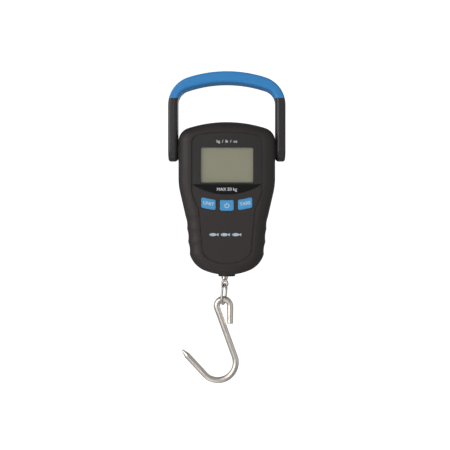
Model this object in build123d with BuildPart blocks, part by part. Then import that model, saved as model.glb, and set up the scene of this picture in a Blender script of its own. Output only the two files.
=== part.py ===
"""Hand-held digital fish scale: a bail handle, a two-part case with display and keys, and a swivel S-hook.

Frame, in millimetres: +Z up, +X to the right, the display faces -Y. The origin is the middle of the
grip's underside, where a hand or a hanger carries the scale. Everything below it hangs.
"""
import os
from math import asin, atan2, cos, degrees, radians, sin, sqrt

from build123d import *

# ---------------------------------------------------------------- driving dimensions
# Handle (bail)
GRIP_TOP = 8.3            # top of the grip above the origin
BAIL_HALF_OUT = 41.9      # outer face of an arm
BAIL_HALF_IN = 34.95      # inner face of an arm
BAIL_CORNER_OUT = 20.8    # outer corner radius
BAIL_CORNER_IN = 10.0     # inner corner radius
BAIL_CORNER_OUT_Z = -15.8
BAIL_CORNER_IN_Z = -14.1
BAIL_DEPTH = 16.0         # front to back
BAIL_EDGE = 1.8           # rounding of the outer edges
BAIL_INNER_EDGE = 2.4     # rounding of the edges that face the gap
SLEEVE_END_Z = -11.0      # where the soft grip meets the hard arms
SLEEVE_WALL = 1.6

# Pivot between handle and case
PIVOT_Z = -47.8
AXLE_R = 2.5
RUNNING = 0.06            # radial clearance of a running fit
SEAT = 0.05               # play left round a piece that sits in a pocket

# Case outline
CASE_HALF = 34.5
CASE_TOP = -28.0
CASE_CORNER_R = 10.1
CASE_CORNER_Z = -41.9
WAIST_TOP = (34.5, -73.2)
WAIST_LOW = (28.7, -98.4)
FOOT_X = 26.4              # where the straight flank would meet the foot arc
FOOT_R = 42.0
FOOT_CORNER = 18.0
FOOT_Z = -137.0
WALL = 2.0

# Case depth stations (Y)
CREST = -14.0             # crest of the rolled rim
FACE = -13.7              # face inside the rim
BEZEL_FRONT = -13.0
BEZEL_BACK = -12.0
FRONT_INNER = -11.0
BACK = 19.0
BACK_INNER = BACK - WALL
FRONT_ROLL = 8.0          # rolled edge radius, front shell
BACK_ROLL = 7.0           # rolled edge radius, rear shell
SEAM = 0.25               # chamfer along the line where the shells meet

# Display
WINDOW_W, WINDOW_H = 37.2, 24.7
WINDOW_Z = -59.0
GLASS_W, GLASS_H = 44.0, 31.0

# Keys
KEY_GAP = 0.15
KEY_PROUD = 0.6

# Load path, all on one line that lies a little left of the case's middle
LOAD_X = -1.5
YOKE_HALF_W = 8.0         # clevis and yoke
YOKE_HALF_D = 5.0
CELL_HALF_W, CELL_HALF_D = 13.0, 4.0
CELL_TOP, CELL_LOW = -64.4, -98.0
SHANK_R = 2.3
NUT_LOW = -114.9          # underside of the swivel nut
EYE_Z = -143.5            # middle of the swivel's eye
EYE_RING_R, EYE_WIRE_R = 2.05, 0.85
LINK_WIRE_R = 0.8
LINK_BOW_R = 3.9          # to the wire's middle
LINK_LENGTH = 14.4        # between its top and bottom wire middles
LINK_TURN = 22.0          # how far the link's plane is turned from the YZ plane, degrees
LINK_LEAN = 5.0           # how far it leans to the left, degrees
HOOK_WIRE_R = 2.25
HOOK_LOOP_R = 4.8
HOOK_BOWL_R = 12.75
HOOK_CUT_LEG = 12.9       # straight leg beside the loop
HOOK_POINT_LEG = 23.4
HOOK_TAPER, HOOK_TIP_R = 4.5, 0.9
TOUCH = 0.03              # gap left where the link bears on the eye
HOOK_PLAY = 0.42          # gap between link and hook, which lets the hook swing

# Battery tray and door
TRAY_HALF_W = 12.0
TRAY_TOP, TRAY_LOW = -67.2, -118.8
TRAY_FLOOR = 6.4
TRAY_WALL = 1.2
DOOR_GAP = 0.2
DOOR_T = 1.8
DOOR_UNDER = 0.1          # gap under the door, which lets its round end turn
DOOR_HALF_W = 13.3
DOOR_TOP, DOOR_LOW = -66.2, -119.8
BATTERY_R = 5.15          # AAA cell
BATTERY_BODY = 43.6
BATTERY_NUB = 0.9
BATTERY_X = 5.4

# Screw places (X, Z)
CASE_SCREWS = [(-22.5, -39.2), (22.5, -39.2), (-17.0, -123.5), (17.0, -123.5)]
BOARD_SCREWS = [(-24.4, -60.0), (24.4, -60.0), (-22.0, -93.6), (22.0, -93.6)]


def at_y(y):
    """Sketch plane across the depth axis at Y = y: local x is X, local y is Z, normal -Y."""
    return Plane.XZ.offset(-y)


# ---------------------------------------------------------------- outlines, drawn in (X, Z)
def arch(half, top, corner_r, corner_z):
    """Right half of an arch: crown arc, corner arc, ending on the side at corner_z. Adds to a BuildLine."""
    cx = half - corner_r
    drop = top - corner_z
    crown_r = (cx**2 + drop**2 - corner_r**2) / (2 * (drop - corner_r))
    centre = Vector(0, top - crown_r)
    reach = Vector(cx, corner_z) - centre
    join = centre + reach.normalized() * crown_r
    bend = reach.normalized() + Vector(1, 0)
    middle = Vector(cx, corner_z) + bend.normalized() * corner_r
    lean = join - centre + Vector(0, crown_r)
    ThreePointArc((0, top), centre + lean.normalized() * crown_r, join)
    ThreePointArc(join, middle, (half, corner_z))
    return (half, corner_z)


def near(points, reach=1.5):
    """Vertex test: within reach of one of the (X, Z) points, on either side of the middle."""
    return lambda v: any(abs(abs(v.X) - x) < reach and abs(v.Y - z) < reach for x, z in points)


def case_face(inset=0.0):
    """The case's front outline as a face in local XY, drawn in by inset."""
    foot_centre = FOOT_Z + FOOT_R
    foot_join = (FOOT_X, foot_centre - sqrt(FOOT_R**2 - FOOT_X**2))
    with BuildSketch() as face:
        with BuildLine():
            side = arch(CASE_HALF, CASE_TOP, CASE_CORNER_R, CASE_CORNER_Z)
            Polyline(side, WAIST_TOP, WAIST_LOW, foot_join)
            low_mid = (FOOT_R * sin(radians(20)), foot_centre - FOOT_R * cos(radians(20)))
            ThreePointArc(foot_join, low_mid, (0, FOOT_Z))
            mirror(about=Plane.YZ)
        make_face()
        fillet(face.vertices().filter_by(near([WAIST_TOP, WAIST_LOW])), 45)
        fillet(face.vertices().filter_by(near([foot_join])), FOOT_CORNER)
        if inset:
            offset(amount=-inset, kind=Kind.INTERSECTION, mode=Mode.REPLACE)
    return face.sketch


RIM_HALF, RIM_TOP, RIM_CORNER_R, RIM_CORNER_Z = 25.1, -35.6, 6.0, -43.4
RIM_BENDS = [(25.1, -79.0), (20.2, -90.6), (18.4, -110.0)]
RIM_FOOT = -129.0
RIM_LINE_W = 0.8          # width of the styling groove round the face


def rim_face(inset=0.0):
    """The face inside the rolled rim, drawn in by inset."""
    with BuildSketch() as face:
        with BuildLine():
            side = arch(RIM_HALF, RIM_TOP, RIM_CORNER_R, RIM_CORNER_Z)
            foot_join = (17.6, -121.6)
            Polyline(side, *RIM_BENDS, foot_join)
            ThreePointArc(foot_join, (9.6, -127.3), (0, RIM_FOOT))
            mirror(about=Plane.YZ)
        make_face()
        fillet(face.vertices().filter_by(near(RIM_BENDS)), 12)
        fillet(face.vertices().filter_by(near([foot_join])), 9)
        if inset:
            offset(amount=-inset, kind=Kind.INTERSECTION, mode=Mode.REPLACE)
    return face.sketch


SMILE_R, SMILE_Z = 46.0, -80.2


def bezel_face(inset=0.0):
    """The display bezel: the rim's face above a smile-shaped lower edge."""
    with BuildSketch() as face:
        add(rim_face(inset))
        with BuildSketch(mode=Mode.INTERSECT):
            with Locations((0, SMILE_Z + SMILE_R)):
                Circle(SMILE_R - inset)
            with Locations((0, SMILE_Z + SMILE_R)):
                Rectangle(80, 80, align=(Align.CENTER, Align.MIN))
        fillet(face.vertices().group_by(Axis.Y)[0], 0.8)
    return face.sketch


SIDE_KEY = [(7.85, -83.6), (17.95, -81.6), (17.95, -89.0), (7.85, -90.85)]
MID_KEY = [(-4.9, -83.65), (4.9, -83.65), (4.9, -91.2), (-4.9, -91.2)]
KEY_CORNER = 1.2


def key_face(corners, side=1, grow=0.0):
    """A key cap's outline: straight top, sides and a lower edge that bows with the bezel."""
    pts = [(x * side, z) for x, z in corners]
    bow = 0.25
    low_mid = ((pts[2][0] + pts[3][0]) / 2, (pts[2][1] + pts[3][1]) / 2 - bow)
    top_mid = ((pts[0][0] + pts[1][0]) / 2, (pts[0][1] + pts[1][1]) / 2 - bow)
    with BuildSketch() as face:
        with BuildLine():
            ThreePointArc(pts[0], top_mid, pts[1])
            Line(pts[1], pts[2])
            ThreePointArc(pts[2], low_mid, pts[3])
            Line(pts[3], pts[0])
        make_face()
        fillet(face.vertices(), KEY_CORNER)
        if grow:
            offset(amount=grow, mode=Mode.REPLACE)
    return face.sketch


KEYS = {"unit_key": (SIDE_KEY, -1), "power_key": (MID_KEY, 1), "tare_key": (SIDE_KEY, 1)}
KEY_CENTRES = {"unit_key": (-12.9, -86.3), "power_key": (0.0, -87.4), "tare_key": (12.9, -86.3)}


# ---------------------------------------------------------------- handle
def bail_face(shrink=0.0):
    """The bail seen from the front: outer arch less inner arch, both arms running to the pivot."""
    low = PIVOT_Z - BAIL_DEPTH / 2
    with BuildSketch() as face:
        with BuildLine():
            side = arch(BAIL_HALF_OUT - shrink, GRIP_TOP - shrink,
                        BAIL_CORNER_OUT - shrink, BAIL_CORNER_OUT_Z)
            Polyline(side, (BAIL_HALF_OUT - shrink, low), (0, low))
            mirror(about=Plane.YZ)
        make_face()
        with BuildSketch(mode=Mode.SUBTRACT):
            with BuildLine():
                side = arch(BAIL_HALF_IN + shrink, shrink,
                            BAIL_CORNER_IN + shrink, BAIL_CORNER_IN_Z)
                Polyline(side, (BAIL_HALF_IN + shrink, low), (0, low))
                mirror(about=Plane.YZ)
            make_face()
    return face.sketch


with BuildPart() as bail:
    with BuildSketch(Plane.XZ):
        add(bail_face())
    extrude(amount=BAIL_DEPTH / 2, both=True)
    with BuildSketch(Plane.YZ) as end_corners:
        with Locations((0, PIVOT_Z - BAIL_DEPTH / 2)):
            Rectangle(BAIL_DEPTH, BAIL_DEPTH / 2, align=(Align.CENTER, Align.MIN))
        with Locations((0, PIVOT_Z)):
            Circle(BAIL_DEPTH / 2, mode=Mode.SUBTRACT)
    extrude(amount=BAIL_HALF_OUT + 1, both=True, mode=Mode.SUBTRACT)
    sharp = bail.edges().filter_by(lambda e: abs(abs(e.center().Y) - BAIL_DEPTH / 2) < 1e-3)
    rounds = bail.edges().filter_by(
        lambda e: e.geom_type == GeomType.CIRCLE and abs(e.radius - BAIL_DEPTH / 2) < 1e-3)
    inner = (sharp + rounds).filter_by(
        lambda e: abs((e @ 0.5).X) < BAIL_HALF_IN + 0.01 and (e @ 0.5).Z < 0.01)
    fillet((sharp + rounds).filter_by(lambda e: e not in inner), BAIL_EDGE)
    inner = bail.edges().filter_by(
        lambda e: abs((e @ 0.5).X) < BAIL_HALF_IN + 0.01 and (e @ 0.5).Z < 0.01
        and abs(Vector(0, (e @ 0.5).Y, min((e @ 0.5).Z - PIVOT_Z, 0)).length - BAIL_DEPTH / 2) < 1e-3)
    fillet(inner, BAIL_INNER_EDGE)

with BuildPart() as core:
    with BuildSketch(Plane.XZ):
        add(bail_face(SLEEVE_WALL))
        with Locations((0, SLEEVE_END_Z)):
            Rectangle(100, 60, align=(Align.CENTER, Align.MIN), mode=Mode.INTERSECT)
    extrude(amount=BAIL_DEPTH / 2 - SLEEVE_WALL, both=True)

with BuildPart() as grip_sleeve:
    add(bail.part)
    split(bisect_by=Plane.XY.offset(SLEEVE_END_Z), keep=Keep.TOP)
    add(core.part, mode=Mode.SUBTRACT)

SCREW_SEAT = 38.8         # where the axle screw's head seats, from the middle
AXLE_HALF = 37.9
with BuildPart() as handle_frame:
    add(bail.part)
    split(bisect_by=Plane.XY.offset(SLEEVE_END_Z), keep=Keep.BOTTOM)
    add(core.part)
    for side in (-1, 1):
        with Locations(Plane((side * BAIL_HALF_IN, 0, PIVOT_Z), z_dir=(side, 0, 0))):
            Cylinder(AXLE_R, AXLE_HALF - BAIL_HALF_IN, align=(Align.CENTER, Align.CENTER, Align.MIN),
                     mode=Mode.SUBTRACT)
            Cylinder(1.6, 10, align=(Align.CENTER, Align.CENTER, Align.MIN), mode=Mode.SUBTRACT)
        with Locations(Plane((side * SCREW_SEAT, 0, PIVOT_Z), z_dir=(side, 0, 0))):
            Cylinder(3.5, 10, align=(Align.CENTER, Align.CENTER, Align.MIN), mode=Mode.SUBTRACT)

with BuildPart() as axle_rod:
    with Locations(Plane((-AXLE_HALF, 0, PIVOT_Z), z_dir=(1, 0, 0))):
        Cylinder(AXLE_R, 2 * AXLE_HALF, align=(Align.CENTER, Align.CENTER, Align.MIN))
    for side in (-1, 1):
        with Locations(Plane((side * AXLE_HALF, 0, PIVOT_Z), z_dir=(side, 0, 0))):
            Cylinder(1.25, 8, align=(Align.CENTER, Align.CENTER, Align.MAX), mode=Mode.SUBTRACT)

with BuildPart() as axle_screws:
    for side in (-1, 1):
        with Locations(Plane((side * SCREW_SEAT, 0, PIVOT_Z), z_dir=(side, 0, 0))):
            Cylinder(3.1, 1.5, align=(Align.CENTER, Align.CENTER, Align.MIN))
            Cylinder(1.25, 7.5, align=(Align.CENTER, Align.CENTER, Align.MAX))
        with Locations(Plane((side * (SCREW_SEAT + 0.7), 0, PIVOT_Z), z_dir=(side, 0, 0))):
            Box(3.6, 0.7, 2, align=(Align.CENTER, Align.CENTER, Align.MIN), mode=Mode.SUBTRACT)
            Box(0.7, 3.6, 2, align=(Align.CENTER, Align.CENTER, Align.MIN), mode=Mode.SUBTRACT)

with BuildPart() as pivot_caps:
    for side in (-1, 1):
        with Locations(Plane((side * BAIL_HALF_OUT, 0, PIVOT_Z), z_dir=(side, 0, 0))):
            Cylinder(3.5, 1.0, align=(Align.CENTER, Align.CENTER, Align.MAX))
    fillet(pivot_caps.edges().filter_by(lambda e: abs(abs(e.center().X) - BAIL_HALF_OUT) < 1e-3), 0.3)

# ---------------------------------------------------------------- case shells
GRIP_RIDGES = [(29.45, -95.0), (28.25, -104.2), (27.55, -113.4), (26.4, -122.4)]   # (X, Z)
GRIP_DEPTH = 0.5
GRIP_LAND = 0.35          # left on a ridge, to each side
GRIP_RUN = 1.6            # how far a scallop runs on past the rolled edges
GRIP_CLEAR = 0.6          # how far its cutter stands out of the case


def finger_scallops():
    """Three shallow scallops that run round each side of the case, as solids to cut away."""
    with BuildPart() as cut:
        for top, low in zip(GRIP_RIDGES, GRIP_RIDGES[1:]):
            along = Vector(top[0] - low[0], 0, top[1] - low[1])
            half = along.length / 2 - GRIP_LAND
            bow_r = (half**2 + GRIP_DEPTH**2) / (2 * GRIP_DEPTH)
            wide = sqrt(bow_r**2 - (bow_r - GRIP_DEPTH - GRIP_CLEAR)**2)
            across = along.normalized().cross(Vector(0, -1, 0))
            middle = Vector((top[0] + low[0]) / 2, 0, (top[1] + low[1]) / 2)
            belt = Plane(middle, x_dir=across, z_dir=along)
            front, back = CREST + FRONT_ROLL, BACK - BACK_ROLL
            s45 = sin(radians(45))
            with BuildLine(belt) as path:
                Line((-FRONT_ROLL - GRIP_RUN, CREST), (-FRONT_ROLL, CREST))
                ThreePointArc((-FRONT_ROLL, CREST),
                              (-FRONT_ROLL + FRONT_ROLL * s45, front - FRONT_ROLL * s45), (0, front))
                Line((0, front), (0, back))
                ThreePointArc((0, back), (-BACK_ROLL + BACK_ROLL * s45, back + BACK_ROLL * s45),
                              (-BACK_ROLL, BACK))
                Line((-BACK_ROLL, BACK), (-BACK_ROLL - GRIP_RUN, BACK))
            with BuildSketch(Plane(path.line @ 0, x_dir=(0, -1, 0), z_dir=across)):
                with BuildLine():
                    ThreePointArc((GRIP_CLEAR, wide), (-GRIP_DEPTH, 0), (GRIP_CLEAR, -wide))
                    Line((GRIP_CLEAR, -wide), (GRIP_CLEAR, wide))
                make_face()
            sweep(path=path.line)
        mirror(about=Plane.YZ)
    return cut.part


grooves = finger_scallops()

COLLAR_LOW, COLLAR_TOP = -138.2, -136.0
BUSH_R = 4.4
BUSH_FLANGE = 0.35


def shell_openings():
    """Adds to a shell what both halves share: the pivot seats and the collar's seat, cut away."""
    with Locations(Plane((0, 0, PIVOT_Z), z_dir=(1, 0, 0))):
        Cylinder(BUSH_R, 2 * CASE_HALF + 4, mode=Mode.SUBTRACT)
    with Locations((LOAD_X, 0, FOOT_Z)):
        Cylinder(4.4, 12, mode=Mode.SUBTRACT)
    with Locations((0, 0, COLLAR_TOP)):
        Cylinder(6.4, 6, align=(Align.CENTER, Align.CENTER, Align.MAX), mode=Mode.SUBTRACT)


with BuildPart() as front_cavity:
    with BuildSketch(Plane.XZ):
        add(case_face(WALL))
    extrude(amount=-FRONT_INNER)
    fillet(front_cavity.faces().sort_by(Axis.Y)[0].edges(), 5)

with BuildPart() as front_shell:
    with BuildSketch(Plane.XZ):
        add(case_face())
    extrude(amount=-CREST)
    fillet(front_shell.faces().sort_by(Axis.Y)[0].edges(), FRONT_ROLL)
    chamfer(front_shell.faces().sort_by(Axis.Y)[-1].edges(), SEAM)
    add(front_cavity.part, mode=Mode.SUBTRACT)
    add(grooves, mode=Mode.SUBTRACT)
    with BuildSketch(at_y(FACE)):
        add(rim_face())
    extrude(amount=5, mode=Mode.SUBTRACT)
    with BuildSketch(at_y(FACE + 0.5)):
        add(rim_face())
        add(rim_face(RIM_LINE_W), mode=Mode.SUBTRACT)
    extrude(amount=5, mode=Mode.SUBTRACT)
    with BuildSketch(at_y(BEZEL_BACK)):
        add(bezel_face())
    extrude(amount=5, mode=Mode.SUBTRACT)
    with BuildSketch(at_y(FRONT_INNER + 1)):
        with Locations((0, WINDOW_Z)):
            RectangleRounded(WINDOW_W + 3, WINDOW_H + 3, 1.5)
        for corners, side in KEYS.values():
            add(key_face(corners, side, KEY_GAP))
    extrude(amount=10, mode=Mode.SUBTRACT)
    with BuildSketch(at_y(0)):
        with Locations(*CASE_SCREWS):
            Circle(3.0)
    extrude(amount=-FRONT_INNER + 0.5)
    with BuildSketch(at_y(0)):
        with Locations(*CASE_SCREWS):
            Circle(1.05)
    extrude(amount=9, mode=Mode.SUBTRACT)
    with BuildSketch(at_y(-7.4)):
        with Locations(*BOARD_SCREWS):
            Circle(2.2)
    extrude(amount=-FRONT_INNER - 7.4 + 0.5)
    with BuildSketch(at_y(-7.4)):
        with Locations(*BOARD_SCREWS):
            Circle(0.8)
    extrude(amount=3, mode=Mode.SUBTRACT)
    shell_openings()

with BuildPart() as rear_cavity:
    with BuildSketch(Plane.XZ):
        add(case_face(WALL))
    extrude(amount=-BACK_INNER)
    fillet(rear_cavity.faces().sort_by(Axis.Y)[-1].edges(), 5)

DOOR_MID_Z = (DOOR_TOP + DOOR_LOW) / 2
TRAY_MID_Z = (TRAY_TOP + TRAY_LOW) / 2
HINGE_Y = BACK - DOOR_T / 2
HINGE_Z = DOOR_LOW + DOOR_T / 2
PIN_R, PIN_OUT = 0.55, 1.0
BATTERY_Y = TRAY_FLOOR + BATTERY_R + 0.1
BATTERY_LEAD_X = 10.6

with BuildPart() as rear_shell:
    with BuildSketch(Plane.XZ):
        add(case_face())
    extrude(amount=-BACK)
    fillet(rear_shell.faces().sort_by(Axis.Y)[-1].edges(), BACK_ROLL)
    chamfer(rear_shell.faces().sort_by(Axis.Y)[0].edges(), SEAM)
    add(rear_cavity.part, mode=Mode.SUBTRACT)
    add(grooves, mode=Mode.SUBTRACT)
    # battery tray: a box that hangs from the back wall, then its hollow
    with BuildSketch(at_y(TRAY_FLOOR - TRAY_WALL)):
        with Locations((0, DOOR_MID_Z)):
            Rectangle(2 * DOOR_HALF_W + 3.2, DOOR_TOP - DOOR_LOW + 3.2)
    extrude(amount=-(BACK_INNER + 0.5 - TRAY_FLOOR + TRAY_WALL))
    with BuildSketch(at_y(TRAY_FLOOR)):
        with Locations((0, TRAY_MID_Z)):
            RectangleRounded(2 * TRAY_HALF_W, TRAY_TOP - TRAY_LOW, 0.8)
    extrude(amount=-30, mode=Mode.SUBTRACT)
    # seat of the door, and the holes its hinge pins turn in
    with BuildSketch(at_y(BACK - DOOR_T - DOOR_UNDER)):
        with Locations((0, DOOR_MID_Z)):
            RectangleRounded(2 * (DOOR_HALF_W + DOOR_GAP), DOOR_TOP - DOOR_LOW + 2 * DOOR_GAP, 0.6)
    extrude(amount=-10, mode=Mode.SUBTRACT)
    with Locations(Plane((0, HINGE_Y, HINGE_Z), z_dir=(1, 0, 0))):
        Cylinder(PIN_R + RUNNING, 2 * (DOOR_HALF_W + PIN_OUT + 0.2), mode=Mode.SUBTRACT)
    with Locations((BATTERY_LEAD_X, BATTERY_Y, TRAY_TOP), (-BATTERY_LEAD_X, BATTERY_Y, TRAY_TOP)):
        Cylinder(0.7, 6, align=(Align.CENTER, Align.CENTER, Align.MIN), mode=Mode.SUBTRACT)
    # screw towers
    with BuildSketch(at_y(0)):
        with Locations(*CASE_SCREWS):
            Circle(4.2)
    extrude(amount=-(BACK_INNER + 0.5))
    with BuildSketch(at_y(0)):
        with Locations(*CASE_SCREWS):
            Circle(1.4)
    extrude(amount=-BACK, mode=Mode.SUBTRACT)
    with BuildSketch(at_y(3.0)):
        with Locations(*CASE_SCREWS):
            Circle(2.8)
    extrude(amount=-BACK, mode=Mode.SUBTRACT)
    shell_openings()

with BuildPart() as case_screws:
    with BuildSketch(at_y(3.0)):
        with Locations(*CASE_SCREWS):
            Circle(2.5)
    extrude(amount=-2.0)
    with BuildSketch(at_y(3.0)):
        with Locations(*CASE_SCREWS):
            Circle(1.05)
    extrude(amount=10.5)
    with BuildSketch(at_y(4.0)):
        with Locations(*CASE_SCREWS):
            Rectangle(3.2, 0.7)
            Rectangle(0.7, 3.2)
    extrude(amount=-2, mode=Mode.SUBTRACT)

# ---------------------------------------------------------------- pivot and neck fittings
with BuildPart() as pivot_bushes:
    for side in (-1, 1):
        with Locations(Plane((side * 30.0, 0, PIVOT_Z), z_dir=(side, 0, 0))):
            Cylinder(BUSH_R - SEAT, CASE_HALF - 30.0, align=(Align.CENTER, Align.CENTER, Align.MIN))
        with Locations(Plane((side * CASE_HALF, 0, PIVOT_Z), z_dir=(side, 0, 0))):
            Cylinder(7.4, BUSH_FLANGE, align=(Align.CENTER, Align.CENTER, Align.MIN))
    with Locations(Plane((0, 0, PIVOT_Z), z_dir=(1, 0, 0))):
        Cylinder(AXLE_R + RUNNING, 100, mode=Mode.SUBTRACT)

with BuildPart() as neck_collar:
    with Locations((0, 0, COLLAR_TOP)):
        Cone(6.0, 6.3, COLLAR_TOP - COLLAR_LOW, align=(Align.CENTER, Align.CENTER, Align.MAX))
    fillet(neck_collar.edges().group_by(Axis.Z)[0], 0.5)
    with Locations((LOAD_X, 0, COLLAR_TOP)):
        Cylinder(4.4 - SEAT, 2.2, align=(Align.CENTER, Align.CENTER, Align.MIN))
        Cylinder(SHANK_R + 0.3, 20, mode=Mode.SUBTRACT)

# ---------------------------------------------------------------- display
with BuildPart() as display_bezel:
    with BuildSketch(at_y(BEZEL_BACK)):
        add(bezel_face(SEAT))
        with Locations((0, WINDOW_Z)):
            RectangleRounded(WINDOW_W, WINDOW_H, 0.9, mode=Mode.SUBTRACT)
    extrude(amount=BEZEL_BACK - BEZEL_FRONT)
    window_edges = display_bezel.faces().sort_by(Axis.Y)[0].inner_wires().edges()
    chamfer(window_edges, 0.4)

BADGE_TOP, BADGE_T = -72.7, 0.35
with BuildPart() as badge_plate:
    with BuildSketch(at_y(BEZEL_FRONT)):
        add(bezel_face(0.5))
        with Locations((0, BADGE_TOP)):
            Rectangle(80, 40, align=(Align.CENTER, Align.MAX), mode=Mode.INTERSECT)
    extrude(amount=BADGE_T)

LENS_T = 0.8
with BuildPart() as display_lens:
    with BuildSketch(at_y(BEZEL_BACK + LENS_T)):
        with Locations((0, WINDOW_Z)):
            RectangleRounded(WINDOW_W + 3 - 2 * SEAT, WINDOW_H + 3 - 2 * SEAT, 1.4)
    extrude(amount=LENS_T)

GLASS_BACK, GLASS_T, REFLECTOR_T = -8.5, 1.2, 0.4
BOARD_FRONT, BOARD_T = -7.4, 1.4
BOARD_BACK = BOARD_FRONT + BOARD_T
with BuildPart() as lcd_glass:
    with BuildSketch(at_y(GLASS_BACK)):
        with Locations((0, WINDOW_Z)):
            Rectangle(GLASS_W, GLASS_H)
    extrude(amount=GLASS_T)
    with BuildSketch(at_y(GLASS_BACK - GLASS_T)):
        with Locations((0, WINDOW_Z + 0.8)):
            Rectangle(GLASS_W, GLASS_H - 1.6)
    extrude(amount=GLASS_T)

with BuildPart() as lcd_reflector:
    with BuildSketch(at_y(GLASS_BACK + REFLECTOR_T)):
        with Locations((0, WINDOW_Z)):
            Rectangle(GLASS_W - 2, GLASS_H - 6)
    extrude(amount=REFLECTOR_T)

with BuildPart() as zebra_strips:
    with BuildSketch(at_y(BOARD_FRONT)):
        with Locations((0, WINDOW_Z + GLASS_H / 2 - 1.4), (0, WINDOW_Z - GLASS_H / 2 + 1.4)):
            Rectangle(GLASS_W - 4, 1.8)
    extrude(amount=BOARD_FRONT - GLASS_BACK)

# ---------------------------------------------------------------- circuit board and what it carries
with BuildPart() as circuit_board:
    with BuildSketch(at_y(BOARD_BACK)):
        with BuildLine():
            Polyline((0, -42.7), (27.2, -42.7), (27.2, -74.0), (24.8, -82.0), (24.8, -97.2), (0, -97.2))
            mirror(about=Plane.YZ)
        make_face()
        with Locations(*BOARD_SCREWS):
            Circle(1.0, mode=Mode.SUBTRACT)
    extrude(amount=BOARD_T)

with BuildPart() as controller_chip:
    with BuildSketch(at_y(BOARD_FRONT)):
        with Locations((0, WINDOW_Z + 4)):
            Circle(5.5)
    extrude(amount=0.7)
    fillet(controller_chip.faces().sort_by(Axis.Y)[0].edges(), 0.5)

SWITCH_T, SWITCH_TIP = 1.2, -9.15
with BuildPart() as tact_switches:
    with BuildSketch(at_y(BOARD_FRONT)):
        with Locations(*KEY_CENTRES.values()):
            RectangleRounded(5.2, 5.2, 0.4)
    extrude(amount=SWITCH_T)
    with BuildSketch(at_y(BOARD_FRONT - SWITCH_T)):
        with Locations(*KEY_CENTRES.values()):
            Circle(1.5)
    extrude(amount=BOARD_FRONT - SWITCH_T - SWITCH_TIP)

with BuildPart() as board_screws:
    with BuildSketch(at_y(BOARD_BACK)):
        with Locations(*BOARD_SCREWS):
            Circle(1.5)
    extrude(amount=-0.9)
    with BuildSketch(at_y(BOARD_BACK)):
        with Locations(*BOARD_SCREWS):
            Circle(0.8)
    extrude(amount=3.6)
    with BuildSketch(at_y(BOARD_BACK + 0.5)):
        with Locations(*BOARD_SCREWS):
            Rectangle(2.2, 0.45)
            Rectangle(0.45, 2.2)
    extrude(amount=-1, mode=Mode.SUBTRACT)

# ---------------------------------------------------------------- keys
KEY_FLANGE_FRONT, KEY_FLANGE_T, KEY_FLANGE = -10.8, 1.0, 0.7


def key_part(corners, side):
    """A sprung key: its cap stands through the shell, its flange stays behind the wall."""
    with BuildPart() as key:
        with BuildSketch(at_y(KEY_FLANGE_FRONT)):
            add(key_face(corners, side))
        extrude(amount=KEY_FLANGE_FRONT - FACE + KEY_PROUD)
        fillet(key.faces().sort_by(Axis.Y)[0].edges(), 0.35)
        with BuildSketch(at_y(KEY_FLANGE_FRONT + KEY_FLANGE_T)):
            add(key_face(corners, side, KEY_FLANGE))
        extrude(amount=KEY_FLANGE_T)
    return key


unit_key = key_part(SIDE_KEY, -1)
power_key = key_part(MID_KEY, 1)
tare_key = key_part(SIDE_KEY, 1)

# ---------------------------------------------------------------- load cell and its fittings
CLEVIS_TOP = PIVOT_Z + 5.0
CLEVIS_LOW = -63.8
TONGUE_TOP = -54.6
PIN_Z = [-59.4, -101.4]
TONGUE_HALF_W = 6.5
YOKE_TOP, YOKE_LOW = -98.6, -119.6
YOKE_FLOOR = -116.0
CHAMBER_TOP = -105.6

with BuildPart() as hanger_clevis:
    with Locations((LOAD_X, 0, CLEVIS_LOW)):
        Box(2 * YOKE_HALF_W, 2 * YOKE_HALF_D, PIVOT_Z - CLEVIS_LOW,
            align=(Align.CENTER, Align.CENTER, Align.MIN))
    with Locations(Plane((LOAD_X, 0, PIVOT_Z), z_dir=(1, 0, 0))):
        Cylinder(YOKE_HALF_D, 2 * YOKE_HALF_W)
        Cylinder(AXLE_R + RUNNING, 2 * YOKE_HALF_W + 2, mode=Mode.SUBTRACT)
    with Locations((LOAD_X, 0, TONGUE_TOP + SEAT)):
        Box(2 * YOKE_HALF_W + 2, 2 * (CELL_HALF_D + SEAT), 20,
            align=(Align.CENTER, Align.CENTER, Align.MAX), mode=Mode.SUBTRACT)
    with Locations(Plane((LOAD_X, 0, PIN_Z[0]), z_dir=(0, 1, 0))):
        Cylinder(2.0, 20, mode=Mode.SUBTRACT)

with BuildPart() as load_cell:
    with Locations((LOAD_X, 0, CELL_LOW)):
        Box(2 * CELL_HALF_W, 2 * CELL_HALF_D, CELL_TOP - CELL_LOW,
            align=(Align.CENTER, Align.CENTER, Align.MIN))
    with Locations((LOAD_X, 0, TONGUE_TOP)):
        Box(2 * TONGUE_HALF_W, 2 * CELL_HALF_D, TONGUE_TOP - CELL_TOP,
            align=(Align.CENTER, Align.CENTER, Align.MAX))
    with Locations((LOAD_X, 0, CELL_LOW)):
        Box(2 * TONGUE_HALF_W, 2 * CELL_HALF_D, 6.9, align=(Align.CENTER, Align.CENTER, Align.MAX))
    # two opposed slots leave the S-shaped spring that bends under load
    for side, z in ((1, -73.0), (-1, -89.4)):
        with Locations((LOAD_X + side * CELL_HALF_W, 0, z)):
            Box(40, 20, 1.6, mode=Mode.SUBTRACT)
    with Locations(*[Plane((LOAD_X + x, 0, -81.2), z_dir=(0, 1, 0)) for x in (-3.4, 3.4)]):
        Cylinder(3.6, 20, mode=Mode.SUBTRACT)
    with Locations(*[Plane((LOAD_X, 0, z), z_dir=(0, 1, 0)) for z in PIN_Z]):
        Cylinder(2.0, 20, mode=Mode.SUBTRACT)

with BuildPart() as cell_pins:
    with Locations(*[Plane((LOAD_X, 0, z), z_dir=(0, 1, 0)) for z in PIN_Z]):
        Cylinder(2.0, 2 * YOKE_HALF_D)

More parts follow.
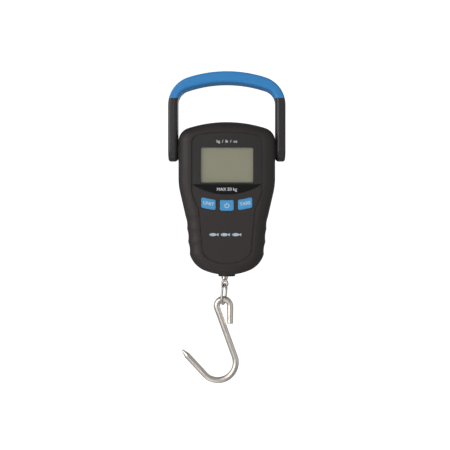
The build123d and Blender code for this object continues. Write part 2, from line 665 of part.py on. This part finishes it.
with BuildPart() as strain_gauges:
    with Locations(*[(LOAD_X + x, -CELL_HALF_D - 0.1, z) for x in (-3.4, 3.4) for z in (-76.0, -86.4)]):
        Box(4.4, 0.2, 1.8)

with BuildPart() as lower_yoke:
    with Locations((LOAD_X, 0, YOKE_TOP)):
        Box(2 * YOKE_HALF_W, 2 * YOKE_HALF_D, YOKE_TOP - YOKE_LOW,
            align=(Align.CENTER, Align.CENTER, Align.MAX))
    with Locations((LOAD_X, 0, YOKE_TOP + 1)):
        Box(2 * (TONGUE_HALF_W + SEAT), 2 * (CELL_HALF_D + SEAT), YOKE_TOP + 1 - CHAMBER_TOP,
            align=(Align.CENTER, Align.CENTER, Align.MAX), mode=Mode.SUBTRACT)
    with Locations((LOAD_X, 0, YOKE_FLOOR)):
        Box(13, 20, CHAMBER_TOP - YOKE_FLOOR, align=(Align.CENTER, Align.CENTER, Align.MIN),
            mode=Mode.SUBTRACT)
        Cylinder(SHANK_R + RUNNING, 20, mode=Mode.SUBTRACT)
    with Locations(Plane((LOAD_X, 0, PIN_Z[1]), z_dir=(0, 1, 0))):
        Cylinder(2.0, 20, mode=Mode.SUBTRACT)

with BuildPart() as thrust_washer:
    with Locations((LOAD_X, 0, YOKE_FLOOR)):
        Cylinder(4.6, 1.0, align=(Align.CENTER, Align.CENTER, Align.MIN))
        Cylinder(SHANK_R + RUNNING, 20, mode=Mode.SUBTRACT)

# ---------------------------------------------------------------- batteries, contacts and wires
CONTACT_T = 0.4
with BuildPart() as battery_cells:
    for side in (-1, 1):
        nub_end = TRAY_TOP - CONTACT_T if side < 0 else TRAY_LOW + CONTACT_T
        with Locations(Plane((side * BATTERY_X, BATTERY_Y, nub_end), z_dir=(0, 0, side))):
            Cylinder(1.9, BATTERY_NUB, align=(Align.CENTER, Align.CENTER, Align.MIN))
            with Locations((0, 0, BATTERY_NUB)):
                Cylinder(BATTERY_R, BATTERY_BODY, align=(Align.CENTER, Align.CENTER, Align.MIN))

with BuildPart() as battery_contacts:
    with Locations(*[(x, BATTERY_Y, TRAY_TOP) for x in (-BATTERY_X, BATTERY_X)]):
        Box(9.6, 9.0, CONTACT_T, align=(Align.CENTER, Align.CENTER, Align.MAX))
    with Locations((0, BATTERY_Y, TRAY_LOW)):
        Box(20.4, 9.0, CONTACT_T, align=(Align.CENTER, Align.CENTER, Align.MIN))

SPRING_WIRE_R, SPRING_R, SPRING_TURNS = 0.3, 3.0, 3.5
SPRING_LENGTH = TRAY_TOP - TRAY_LOW - 2 * CONTACT_T - BATTERY_BODY - BATTERY_NUB


def battery_spring(side):
    """A coil between a battery's flat end and the contact behind it."""
    base = TRAY_LOW + CONTACT_T if side < 0 else TRAY_TOP - CONTACT_T
    rise = SPRING_LENGTH - 2 * SPRING_WIRE_R - 0.1
    with BuildPart() as spring:
        with BuildLine() as coil:
            Helix(pitch=rise / SPRING_TURNS, height=rise, radius=SPRING_R)
        with BuildSketch(Plane(coil.line @ 0, z_dir=coil.line % 0)):
            Circle(SPRING_WIRE_R)
        sweep(path=coil.line)
    turned = Plane((side * BATTERY_X, BATTERY_Y, base), z_dir=(0, 0, -side))
    return spring.part.moved(turned.location * Location((0, 0, SPRING_WIRE_R + 0.05)))


coils = [battery_spring(side) for side in (-1, 1)]
with BuildPart() as battery_springs:
    add(coils)

LEAD_R = 0.5
LEAD_Z = -60.6
with BuildPart() as battery_leads:
    for side in (-1, 1):
        with BuildLine() as route:
            FilletPolyline((side * BATTERY_LEAD_X, BATTERY_Y, TRAY_TOP),
                           (side * BATTERY_LEAD_X, BATTERY_Y, LEAD_Z),
                           (side * BATTERY_LEAD_X, BOARD_BACK, LEAD_Z), radius=3)
        with BuildSketch(Plane((side * BATTERY_LEAD_X, BATTERY_Y, TRAY_TOP))):
            Circle(LEAD_R)
        sweep(path=route.line)

with BuildPart() as cell_lead:
    for x in (-0.45, 0.45):
        with BuildLine() as route:
            FilletPolyline((LOAD_X + x, -4.75, -78.0), (LOAD_X + x, -4.75, -69.0),
                           (LOAD_X + x, BOARD_BACK, -69.0), radius=1.1)
        with BuildSketch(Plane((LOAD_X + x, -4.75, -78.0))):
            Circle(0.4)
        sweep(path=route.line)

# ---------------------------------------------------------------- battery door
with BuildPart() as battery_door:
    with BuildSketch(at_y(BACK - DOOR_T)):
        with Locations((0, DOOR_MID_Z)):
            Rectangle(2 * DOOR_HALF_W, DOOR_TOP - DOOR_LOW)
    extrude(amount=-DOOR_T)
    fillet(battery_door.edges().filter_by(Axis.X).group_by(Axis.Z)[0], DOOR_T / 2 - 0.01)
    fillet(battery_door.edges().filter_by(Axis.Y).group_by(Axis.Z)[-1], 0.6)
    with Locations(Plane((0, HINGE_Y, HINGE_Z), z_dir=(1, 0, 0))):
        Cylinder(PIN_R, 2 * (DOOR_HALF_W + PIN_OUT))
    with Locations(*[(0, BACK, DOOR_TOP - 4.0 - 1.6 * i) for i in range(4)]):
        Box(12, 0.9, 0.7, mode=Mode.SUBTRACT)

# ---------------------------------------------------------------- swivel, link and hook
TURN_DIR = Vector(sin(radians(LINK_TURN)), cos(radians(LINK_TURN)), 0)
SIDE_DIR = Vector(cos(radians(LINK_TURN)), -sin(radians(LINK_TURN)), 0)
DOWN_DIR = Vector(0, 0, -cos(radians(LINK_LEAN))) - SIDE_DIR * sin(radians(LINK_LEAN))
LINK_TOP = Vector(LOAD_X, 0, EYE_Z - (EYE_RING_R - EYE_WIRE_R - LINK_WIRE_R - TOUCH))
LINK_LOW = LINK_TOP + DOWN_DIR * LINK_LENGTH
HOOK_TOP = LINK_LOW - DOWN_DIR * (LINK_WIRE_R + HOOK_WIRE_R + HOOK_PLAY)

NUT_T, SHANK_TOP, SHANK_END = 4.6, -108.6, -140.2
with BuildPart() as eye_bolt:
    with Locations((LOAD_X, 0, SHANK_TOP)):
        Cylinder(SHANK_R, SHANK_TOP - SHANK_END, align=(Align.CENTER, Align.CENTER, Align.MAX))
    with Locations((LOAD_X, 0, SHANK_END)):
        Cone(0.9, SHANK_R, 1.3, align=(Align.CENTER, Align.CENTER, Align.MAX))
    with Locations(Plane((LOAD_X, 0, EYE_Z), z_dir=TURN_DIR)):
        Torus(EYE_RING_R, EYE_WIRE_R)

with BuildPart() as swivel_nut:
    with BuildSketch(Plane.XY.offset(NUT_LOW)):
        with Locations((LOAD_X, 0)):
            RegularPolygon(4.2, 6)
            Circle(SHANK_R, mode=Mode.SUBTRACT)
    extrude(amount=NUT_T)

with BuildPart() as link_ring:
    high = LINK_TOP + DOWN_DIR * LINK_BOW_R
    low = LINK_LOW - DOWN_DIR * LINK_BOW_R
    wide = TURN_DIR * LINK_BOW_R
    with BuildLine() as route:
        ThreePointArc(high + wide, LINK_TOP, high - wide)
        Line(high - wide, low - wide)
        ThreePointArc(low - wide, LINK_LOW, low + wide)
        Line(low + wide, high + wide)
    with BuildSketch(Plane(high + wide, z_dir=-DOWN_DIR)):
        Circle(LINK_WIRE_R)
    sweep(path=route.line)

HOOK_LOOP = (HOOK_TOP.X, HOOK_TOP.Z - HOOK_LOOP_R)
HOOK_BOWL = (-6.3, -200.3)
gap = Vector(HOOK_BOWL[0] - HOOK_LOOP[0], HOOK_BOWL[1] - HOOK_LOOP[1])
SHANK_ANGLE = degrees(asin((HOOK_LOOP_R + HOOK_BOWL_R) / gap.length) - atan2(-gap.X, -gap.Y))
POINT_ANGLE = 47.0        # the point leg's slope, degrees from level


def round_hook(centre, radius, angle):
    """Point in the hook's plane on a circle round (X, Z), at an angle in degrees from +X towards +Z."""
    turn = radians(angle)
    return Vector(centre[0] + radius * cos(turn), HOOK_TOP.Y, centre[1] + radius * sin(turn))


leg_top = round_hook(HOOK_LOOP, HOOK_LOOP_R, 0)
leg_end = leg_top - Vector(0, 0, HOOK_CUT_LEG)
loop_end = round_hook(HOOK_LOOP, HOOK_LOOP_R, 180 + SHANK_ANGLE)
bowl_start = round_hook(HOOK_BOWL, HOOK_BOWL_R, SHANK_ANGLE)
bowl_end = round_hook(HOOK_BOWL, HOOK_BOWL_R, 270 - POINT_ANGLE)
point_dir = Vector(-cos(radians(POINT_ANGLE)), 0, sin(radians(POINT_ANGLE)))
taper_start = bowl_end + point_dir * (HOOK_POINT_LEG - HOOK_TAPER)

with BuildPart() as s_hook:
    with BuildLine() as route:
        Line(leg_end, leg_top)
        ThreePointArc(leg_top, HOOK_TOP, loop_end)
        Line(loop_end, bowl_start)
        ThreePointArc(bowl_start, round_hook(HOOK_BOWL, HOOK_BOWL_R, -60), bowl_end)
        Line(bowl_end, taper_start)
    with BuildSketch(Plane(leg_end, z_dir=(0, 0, 1))):
        Circle(HOOK_WIRE_R)
    sweep(path=route.line)
    chamfer(s_hook.edges().filter_by(GeomType.CIRCLE).sort_by_distance(leg_end)[0], 0.4)
    with Locations(Plane(taper_start, z_dir=point_dir)):
        Cone(HOOK_WIRE_R, HOOK_TIP_R, HOOK_TAPER, align=(Align.CENTER, Align.CENTER, Align.MIN))
    with Locations(taper_start + point_dir * HOOK_TAPER):
        Sphere(HOOK_TIP_R)

# ---------------------------------------------------------------- export
PIECES = {
    "handle_frame": handle_frame, "grip_sleeve": grip_sleeve, "axle_rod": axle_rod,
    "axle_screws": axle_screws, "pivot_caps": pivot_caps,
    "front_shell": front_shell, "rear_shell": rear_shell, "case_screws": case_screws,
    "pivot_bushes": pivot_bushes, "neck_collar": neck_collar,
    "display_bezel": display_bezel, "badge_plate": badge_plate, "display_lens": display_lens,
    "lcd_glass": lcd_glass, "lcd_reflector": lcd_reflector, "zebra_strips": zebra_strips,
    "circuit_board": circuit_board, "controller_chip": controller_chip,
    "tact_switches": tact_switches, "board_screws": board_screws,
    "unit_key": unit_key, "power_key": power_key, "tare_key": tare_key,
    "hanger_clevis": hanger_clevis, "load_cell": load_cell, "cell_pins": cell_pins,
    "strain_gauges": strain_gauges, "lower_yoke": lower_yoke, "thrust_washer": thrust_washer,
    "battery_cells": battery_cells, "battery_contacts": battery_contacts,
    "battery_springs": battery_springs, "battery_leads": battery_leads, "cell_lead": cell_lead,
    "battery_door": battery_door, "eye_bolt": eye_bolt, "swivel_nut": swivel_nut,
    "link_ring": link_ring, "s_hook": s_hook,
}
os.makedirs("parts", exist_ok=True)
for name, piece in PIECES.items():
    piece.part.label = name
    export_step(piece.part, f"parts/{name}.step")
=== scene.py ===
from math import atan2, pi, radians

import bpy
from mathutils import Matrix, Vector


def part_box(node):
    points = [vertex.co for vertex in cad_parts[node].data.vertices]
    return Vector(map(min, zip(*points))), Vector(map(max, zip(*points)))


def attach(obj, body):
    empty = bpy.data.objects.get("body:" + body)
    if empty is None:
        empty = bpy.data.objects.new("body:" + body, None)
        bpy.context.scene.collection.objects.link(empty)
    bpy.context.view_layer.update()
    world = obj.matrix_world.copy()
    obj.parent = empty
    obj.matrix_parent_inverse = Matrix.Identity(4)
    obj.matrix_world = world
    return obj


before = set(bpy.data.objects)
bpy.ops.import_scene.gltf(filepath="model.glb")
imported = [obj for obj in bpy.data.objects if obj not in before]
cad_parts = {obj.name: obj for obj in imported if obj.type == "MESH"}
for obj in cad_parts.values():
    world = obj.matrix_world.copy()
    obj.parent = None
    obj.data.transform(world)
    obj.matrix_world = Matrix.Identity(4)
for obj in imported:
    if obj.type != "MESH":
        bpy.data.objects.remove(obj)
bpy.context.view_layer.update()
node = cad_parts
MM = 0.001

# ---------------------------------------------------------------- the studio
# A round white cyclorama with the scale hanging in its middle, and a long lens square to the scale's face.
# A large soft box and a narrow strip stand to its left, weaker boxes to the right and behind, and a low
# card underneath.
CAMERA_AT = Vector((-1.3, -650.0, -101.4)) * MM
FIELD_WIDTH = 324.0 * MM          # how much the picture's width covers at the scale's own plane
LIGHTS_AIM = Vector((0, 0, -0.09))
camera = bpy.data.objects.new("camera", bpy.data.cameras.new("camera"))
bpy.context.collection.objects.link(camera)
camera.location = CAMERA_AT
camera.rotation_euler = (pi / 2, 0, 0)
camera.data.sensor_width = 36.0
camera.data.lens = camera.data.sensor_width * -CAMERA_AT.y / FIELD_WIDTH
camera.data.clip_start = 0.01
bpy.context.scene.camera = camera
bpy.context.scene.view_settings.view_transform = "Standard"

for name, power, wide, tall, place in (("softbox_left", 7.0, 1.0, 1.0, (-0.90, -0.85, 0.12)),
                                       ("strip_left", 1.4, 0.14, 1.4, (-0.30, -1.10, -0.10)),
                                       ("softbox_right", 1.0, 0.8, 0.8, (1.10, -0.70, -0.10)),
                                       ("softbox_back", 3.5, 1.2, 1.2, (0.55, 1.20, 0.35)),
                                       ("low_card", 0.7, 0.6, 0.6, (-0.2, -0.3, -0.80))):
    light = bpy.data.objects.new(name, bpy.data.lights.new(name, "AREA"))
    bpy.context.collection.objects.link(light)
    light.data.energy = power
    light.data.shape = "RECTANGLE"
    light.data.size = wide
    light.data.size_y = tall
    light.location = place
    light.rotation_euler = (LIGHTS_AIM - light.location).to_track_quat("-Z", "Y").to_euler()

world = bpy.data.worlds.new("studio")
bpy.context.scene.world = world
world.use_nodes = True
world.node_tree.nodes["Background"].inputs["Color"].default_value = (0.92, 0.95, 1.0, 1)
world.node_tree.nodes["Background"].inputs["Strength"].default_value = 0.27

FLOOR_Z, ROOM_R, ROOM_H, COVE_R = -0.32, 3.2, 5.0, 0.5
bpy.ops.object.select_all(action="DESELECT")
bpy.ops.mesh.primitive_cylinder_add(vertices=96, radius=ROOM_R, depth=ROOM_H,
                                    location=(0, 0, FLOOR_Z + ROOM_H / 2))
sweep = bpy.context.object
sweep.name = "studio_sweep"
bpy.ops.object.transform_apply()
bpy.ops.object.mode_set(mode="EDIT")
bpy.ops.mesh.select_all(action="DESELECT")
bpy.ops.object.mode_set(mode="OBJECT")
for edge in sweep.data.edges:
    edge.select = all(sweep.data.vertices[v].co.z < FLOOR_Z + MM for v in edge.vertices)
bpy.ops.object.mode_set(mode="EDIT")
bpy.context.tool_settings.mesh_select_mode = (False, True, False)
bpy.ops.mesh.bevel(offset=COVE_R, segments=12, affect="EDGES")
bpy.ops.object.mode_set(mode="OBJECT")
bpy.ops.object.shade_smooth()
paper = bpy.data.materials.new("studio_paper")
paper.use_nodes = True
shader = paper.node_tree.nodes["Principled BSDF"]
shader.inputs["Base Color"].default_value = (0.9, 0.9, 0.9, 1)
shader.inputs["Roughness"].default_value = 0.9
shader.inputs["Emission Color"].default_value = (1, 1, 1, 1)
shader.inputs["Emission Strength"].default_value = 0.85
sweep.data.materials.append(paper)
sweep.visible_diffuse = False     # it is too far away to light the scale
sweep.visible_glossy = False
sweep.visible_shadow = False


# ---------------------------------------------------------------- bail handle
# A U-shaped bail moulded in glass-filled nylon, with a soft blue rubber grip moulded over its middle, on a
# steel axle held by a screw in each arm under a push-in cap.
def uneven(nodes, links, pattern, colour, shades, gloss):
    """Lets a pattern take a surface between two shades of its colour and two degrees of roughness."""
    shader = nodes["Principled BSDF"]
    tint = nodes.new("ShaderNodeMix")
    tint.data_type = "RGBA"
    for end, shade in zip("AB", shades):
        tint.inputs[end].default_value = (*[min(c * shade, 1) for c in colour], 1)
    spread = nodes.new("ShaderNodeMapRange")
    for end, roughness in zip(("To Min", "To Max"), gloss):
        spread.inputs[end].default_value = roughness
    links.new(pattern, tint.inputs["Factor"])
    links.new(tint.outputs["Result"], shader.inputs["Base Color"])
    links.new(pattern, spread.inputs["Value"])
    links.new(spread.outputs["Result"], shader.inputs["Roughness"])


def relief(nodes, links, pattern, depth, strength):
    """Lets a pattern stand up from a surface by a depth in metres."""
    bump = nodes.new("ShaderNodeBump")
    bump.inputs["Distance"].default_value = depth
    bump.inputs["Strength"].default_value = strength
    links.new(pattern, bump.inputs["Height"])
    links.new(bump.outputs["Normal"], nodes["Principled BSDF"].inputs["Normal"])


SKIN_GRAIN = 0.35 * MM
SKIN_RELIEF = 0.6
FLOW_SCALE, FLOW_DETAIL, FLOW_WARP = 45, 5, 0.6
GLOSS_SWING = 0.05


def moulded(name, colour, roughness, depth=0.006 * MM, mottle=0.10):
    """Moulded plastic or rubber: a fine eroded skin, faint flow marks and slightly uneven gloss."""
    material = bpy.data.materials.new(name)
    material.use_nodes = True
    nodes, links = material.node_tree.nodes, material.node_tree.links
    place = nodes.new("ShaderNodeTexCoord")
    grain = nodes.new("ShaderNodeTexNoise")
    grain.inputs["Scale"].default_value = 1 / SKIN_GRAIN
    grain.inputs["Detail"].default_value = 3
    flow = nodes.new("ShaderNodeTexNoise")
    flow.inputs["Scale"].default_value = FLOW_SCALE
    flow.inputs["Detail"].default_value = FLOW_DETAIL
    flow.inputs["Distortion"].default_value = FLOW_WARP
    links.new(place.outputs["Object"], grain.inputs["Vector"])
    links.new(place.outputs["Object"], flow.inputs["Vector"])
    relief(nodes, links, grain.outputs["Fac"], depth, SKIN_RELIEF)
    uneven(nodes, links, flow.outputs["Fac"], colour, (1 - mottle, 1 + mottle),
           (roughness - GLOSS_SWING, roughness + GLOSS_SWING))
    return material


def finish(material, *names):
    """Gives CAD nodes a material, in every slot they have."""
    for name in names:
        for place in node[name].material_slots:
            place.link = "OBJECT"
            place.material = material


LINES_SCALE, LINES_DETAIL, LINES_RELIEF = 900, 4, 0.3
HAZE_SCALE, HAZE_DETAIL = 160, 6
TARNISH = (0.86, 1.08)            # darkest and brightest shade of the bare metal's colour


def steel(name, colour, roughness, lay=(1, 1, 14), scratch=0.004 * MM):
    """Drawn or turned metal: fine lines across the lay, a soft haze and small uneven tarnish."""
    material = bpy.data.materials.new(name)
    material.use_nodes = True
    nodes, links = material.node_tree.nodes, material.node_tree.links
    nodes["Principled BSDF"].inputs["Metallic"].default_value = 1.0
    place = nodes.new("ShaderNodeTexCoord")
    stretch = nodes.new("ShaderNodeMapping")
    stretch.inputs["Scale"].default_value = lay
    lines = nodes.new("ShaderNodeTexNoise")
    lines.inputs["Scale"].default_value = LINES_SCALE
    lines.inputs["Detail"].default_value = LINES_DETAIL
    haze = nodes.new("ShaderNodeTexNoise")
    haze.inputs["Scale"].default_value = HAZE_SCALE
    haze.inputs["Detail"].default_value = HAZE_DETAIL
    links.new(place.outputs["Object"], stretch.inputs["Vector"])
    links.new(stretch.outputs["Vector"], lines.inputs["Vector"])
    links.new(place.outputs["Object"], haze.inputs["Vector"])
    relief(nodes, links, lines.outputs["Fac"], scratch, LINES_RELIEF)
    uneven(nodes, links, haze.outputs["Fac"], colour, TARNISH, (roughness - 0.06, roughness + 0.10))
    return material


ARM_BLACK = (0.040, 0.035, 0.035)
GRIP_BLUE = (0.042, 0.315, 0.740)
arm_plastic = moulded("arm_plastic", ARM_BLACK, 0.36)
grip_rubber = moulded("grip_rubber", GRIP_BLUE, 0.50, mottle=0.05)
bright_steel = steel("bright_steel", (0.62, 0.61, 0.59), 0.28, scratch=0.001 * MM)
finish(arm_plastic, "handle_frame", "pivot_caps")
finish(grip_rubber, "grip_sleeve")
finish(bright_steel, "axle_rod", "axle_screws")

# ---------------------------------------------------------------- case
# Two shells of charcoal ABS with a rolled rim and three finger scallops a side, screwed together from the
# back. The bush and the neck collar are plain black plastic.
CASE_CHARCOAL = (0.034, 0.0245, 0.0225)
case_plastic = moulded("case_plastic", CASE_CHARCOAL, 0.56)
back_plastic = moulded("back_plastic", (0.032, 0.0235, 0.0215), 0.58)
dark_plastic = moulded("dark_plastic", (0.014, 0.013, 0.013), 0.45)
finish(case_plastic, "front_shell")
finish(back_plastic, "rear_shell", "battery_door")
finish(dark_plastic, "pivot_bushes", "neck_collar")
finish(bright_steel, "case_screws")

# ---------------------------------------------------------------- display
# A satin bezel with a gloss crescent plate under the window, a clear acrylic lens behind it, and a
# grey-green reflective display behind that, standing on rubber contact strips on the board. The plate's
# near-black colour is a painted reflection, standing in for the dark surroundings mirrored in its gloss.
bezel_plastic = moulded("bezel_plastic", (0.030, 0.025, 0.023), 0.38)
# The crescent plate's near-black colour is a painted reflection of dark surroundings on its gloss.
badge_gloss = moulded("badge_gloss", (0.004, 0.003, 0.003), 0.14, depth=0.001 * MM)
finish(bezel_plastic, "display_bezel")
finish(badge_gloss, "badge_plate")

lens_acrylic = bpy.data.materials.new("lens_acrylic")
lens_acrylic.use_nodes = True
shader = lens_acrylic.node_tree.nodes["Principled BSDF"]
# The clear lens's pale grey-green base colour, at about a sixth of full cover, is a painted reflection: a
# faint veil standing in for the glare on the acrylic.
shader.inputs["Base Color"].default_value = (0.55, 0.58, 0.52, 1)
shader.inputs["Roughness"].default_value = 0.08
shader.inputs["Alpha"].default_value = 0.16
finish(lens_acrylic, "display_lens")

LCD_GREEN = (0.440, 0.402, 0.245)
lcd_panel = moulded("lcd_panel", LCD_GREEN, 0.35, depth=0.001 * MM, mottle=0.03)
finish(lcd_panel, "lcd_glass")
finish(steel("reflector_foil", (0.7, 0.71, 0.66), 0.3), "lcd_reflector")
finish(moulded("elastomer", (0.55, 0.16, 0.18), 0.6), "zebra_strips")

# ---------------------------------------------------------------- keys
# Three blue caps moulded in ABS, each loose in its own opening of the face and kept in by a flange behind
# the wall, in front of its tact switch. Their white legends are printed on last.
KEY_BLUE = (0.085, 0.430, 0.830)
key_plastic = moulded("key_plastic", KEY_BLUE, 0.36, mottle=0.04)
finish(key_plastic, "unit_key", "power_key", "tare_key")

# ---------------------------------------------------------------- inside
# A green-masked board with its chip and switches, screwed down behind the display. The load cell is milled
# from aluminium with foil gauges glued on, and hangs on zinc-plated fittings. Two wrapped cells sit between
# sprung contacts and are wired to the board.
finish(moulded("solder_mask", (0.012, 0.105, 0.035), 0.25), "circuit_board")
finish(moulded("black_epoxy", (0.01, 0.01, 0.011), 0.2), "controller_chip", "tact_switches")
finish(steel("milled_aluminium", (0.78, 0.79, 0.80), 0.34, lay=(14, 1, 1)), "load_cell")
finish(steel("plated_steel", (0.60, 0.60, 0.58), 0.32), "hanger_clevis", "lower_yoke", "thrust_washer",
       "swivel_nut", "cell_pins", "board_screws", "battery_contacts", "battery_springs")
finish(moulded("gauge_foil", (0.45, 0.26, 0.08), 0.3), "strain_gauges")
finish(moulded("battery_wrap", (0.30, 0.31, 0.31), 0.3), "battery_cells")
finish(moulded("red_wire", (0.42, 0.02, 0.018), 0.45), "battery_leads")
finish(moulded("white_wire", (0.7, 0.68, 0.62), 0.45), "cell_lead")

# ---------------------------------------------------------------- swivel, link and hook
# A turned eye bolt in the load cell's yoke, a closed link and an S-hook with a ground point, all of
# stainless wire, bent cold and tumbled to a soft shine.
hook_steel = steel("hook_steel", (0.96, 0.86, 0.77), 0.34, lay=(1, 1, 3), scratch=0.0003 * MM)
# The link and the eye bolt take a darker copy of the hook's stainless: painted shade, standing in for the
# dark surroundings that their polished wire reflects.
shaded_link_steel = steel("shaded_link_steel", (0.66, 0.62, 0.57), 0.24, lay=(1, 1, 3), scratch=0.0003 * MM)
finish(hook_steel, "s_hook")
finish(shaded_link_steel, "eye_bolt", "link_ring")

# ---------------------------------------------------------------- printed marks
# White pad-printed legends and marks, a film of ink two hundredths of a millimetre thick. The side keys are
# tilted in the face, and so are their words.
INK = 0.01 * MM                   # half the film's thickness
WORD_SWELL = 0.05 * MM            # makes the strokes of small words bolder
KEY_TILT = radians(10.5)
KEY_WORDS, UNIT_WORDS, RANGE_WORDS = 3.3 * MM, 2.7 * MM, 3.1 * MM
UNIT_ROW_Z = -42.4 * MM
white_ink = moulded("white_ink", (0.84, 0.86, 0.88), 0.5, depth=0.002 * MM)


def mark(piece, name, ink, body):
    """Gives a printed mark its name, its ink and the body that carries it."""
    piece.name = name
    piece.data.materials.clear()
    piece.data.materials.append(ink)
    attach(piece, body)


def print_text(name, words, height, x, y, z, body, tilt=0.0):
    """Lettering printed on a face that looks to -Y, centred at x, z."""
    bpy.ops.object.select_all(action="DESELECT")
    bpy.ops.object.text_add(location=(x, y - INK / 2, z), rotation=(pi / 2, -tilt, 0))
    text = bpy.context.object
    text.data.body = words
    text.data.size = height
    text.data.align_x = "CENTER"
    text.data.align_y = "CENTER"
    text.data.extrude = INK
    text.data.offset = WORD_SWELL
    text.data.resolution_u = 4
    bpy.ops.object.convert(target="MESH")
    bpy.ops.object.transform_apply()
    mark(bpy.context.object, name, white_ink, body)


def middle(name):
    """Centre of a CAD node's box, with its frontmost y."""
    low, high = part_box(name)
    return (low[0] + high[0]) / 2, low[1], (low[2] + high[2]) / 2


print_text("unit_legend", "UNIT", KEY_WORDS, *middle("unit_key"), "unit_key", tilt=-KEY_TILT)
print_text("tare_legend", "TARE", KEY_WORDS, *middle("tare_key"), "tare_key", tilt=KEY_TILT)
bezel_front = middle("display_bezel")[1]
print_text("unit_mark", "kg  /  lb  /  oz", UNIT_WORDS, 0, bezel_front, UNIT_ROW_Z, "case")
badge_front, badge_mid = middle("badge_plate")[1:]
print_text("range_mark", "MAX 50 kg", RANGE_WORDS, 0, badge_front, badge_mid - 0.1 * MM, "case")


def thicken(piece):
    """A flat piece drawn about the origin is given the film's thickness."""
    bpy.ops.object.select_all(action="DESELECT")
    piece.select_set(True)
    bpy.context.view_layer.objects.active = piece
    thick = piece.modifiers.new("thickness", "SOLIDIFY")
    thick.thickness = 2 * INK
    thick.offset = 0
    bpy.ops.object.modifier_apply(modifier=thick.name)
    bpy.ops.object.mode_set(mode="EDIT")
    bpy.ops.mesh.select_all(action="SELECT")
    bpy.ops.mesh.normals_make_consistent(inside=False)
    bpy.ops.object.mode_set(mode="OBJECT")


def stand_up(piece, x, y, z):
    """A piece drawn flat about the origin is set on a face that looks to -Y."""
    bpy.ops.object.select_all(action="DESELECT")
    piece.select_set(True)
    bpy.context.view_layer.objects.active = piece
    piece.rotation_euler = (pi / 2, 0, 0)
    piece.location = (x, y - INK / 2, z)
    bpy.ops.object.transform_apply()


# The standby sign printed on the middle key in the same white ink: an open ring, and a stroke with rounded
# ends that stands in its gap.
SIGN_R, SIGN_STROKE, SIGN_STEPS = 1.75 * MM, 0.5 * MM, 48
SIGN_GAP = radians(34)            # half the gap in the ring
STROKE_LONG, STROKE_MID = 2.0 * MM, SIGN_R - 0.55 * MM
bpy.ops.object.select_all(action="DESELECT")
bpy.ops.mesh.primitive_circle_add(vertices=SIGN_STEPS, radius=SIGN_R)
sign = bpy.context.object
bpy.ops.object.mode_set(mode="EDIT")
bpy.ops.mesh.select_all(action="DESELECT")
bpy.ops.object.mode_set(mode="OBJECT")
for v in sign.data.vertices:
    v.select = abs(atan2(v.co.x, v.co.y)) < SIGN_GAP
bpy.ops.object.mode_set(mode="EDIT")
bpy.ops.mesh.delete(type="VERT")
bpy.ops.mesh.select_all(action="SELECT")
bpy.ops.mesh.extrude_region_move()
inner = 1 - SIGN_STROKE / SIGN_R
bpy.ops.transform.resize(value=(inner, inner, 1), center_override=(0, 0, 0))
bpy.ops.mesh.select_all(action="DESELECT")
bpy.ops.mesh.primitive_plane_add(size=1, location=(0, STROKE_MID, 0))
bpy.ops.transform.resize(value=(SIGN_STROKE, STROKE_LONG, 1), center_override=(0, STROKE_MID, 0))
bpy.ops.mesh.bevel(offset=0.12 * MM, segments=3, affect="VERTICES")
bpy.ops.object.mode_set(mode="OBJECT")
key_x, key_y, key_z = middle("power_key")
thicken(sign)
stand_up(sign, key_x, key_y, key_z - 0.15 * MM)
mark(sign, "standby_sign", white_ink, "power_key")

# A row of three small fish printed low on the face in pale blue ink, each an oval body with a flared tail
# and an open eye.
FISH_LONG, FISH_DEEP, TAIL_LONG, TAIL_FLARE = 5.0 * MM, 2.2 * MM, 1.5 * MM, 5.2
EYE_R = 0.26 * MM
FISH_STEP, FISH_X, FISH_Z = 8.0 * MM, -1.8 * MM, -108.2 * MM
RIM_PROUD = 0.3 * MM              # how far the rim's crest stands in front of the face
fish_ink = moulded("fish_ink", (0.60, 0.72, 0.80), 0.5, depth=0.002 * MM)
bpy.ops.object.select_all(action="DESELECT")
bpy.ops.mesh.primitive_circle_add(vertices=32, radius=0.5, fill_type="NGON")
fish = bpy.context.object
bpy.ops.object.mode_set(mode="EDIT")
bpy.ops.transform.resize(value=(FISH_LONG, FISH_DEEP, 1))
bpy.ops.mesh.select_all(action="DESELECT")
bpy.ops.object.mode_set(mode="OBJECT")
tail_root = max(fish.data.vertices, key=lambda v: v.co.x)
for edge in fish.data.edges:
    edge.select = tail_root.index in edge.vertices
bpy.ops.object.mode_set(mode="EDIT")
bpy.context.tool_settings.mesh_select_mode = (False, True, False)
bpy.ops.mesh.extrude_region_move(TRANSFORM_OT_translate={"value": (TAIL_LONG, 0, 0)})
bpy.ops.transform.resize(value=(0, TAIL_FLARE, 1))
bpy.ops.object.mode_set(mode="OBJECT")
thicken(fish)
bpy.ops.object.select_all(action="DESELECT")
bpy.ops.mesh.primitive_cylinder_add(vertices=16, radius=EYE_R, depth=MM,
                                    location=(-0.30 * FISH_LONG, 0.14 * FISH_DEEP, 0))
eye = bpy.context.object
bpy.ops.object.select_all(action="DESELECT")
fish.select_set(True)
bpy.context.view_layer.objects.active = fish
hole = fish.modifiers.new("eye", "BOOLEAN")
hole.object = eye
hole.solver = "EXACT"
bpy.ops.object.modifier_apply(modifier=hole.name)
bpy.data.objects.remove(eye)
face_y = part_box("front_shell")[0][1] + RIM_PROUD
row = [fish]
while len(row) < 3:
    twin = fish.copy()
    twin.data = fish.data.copy()
    bpy.context.collection.objects.link(twin)
    row.append(twin)
for place, name, swimmer in zip((-1, 0, 1), ("fish_left", "fish_middle", "fish_right"), row):
    stand_up(swimmer, place * FISH_STEP + FISH_X, face_y, FISH_Z)
    mark(swimmer, name, fish_ink, "case")
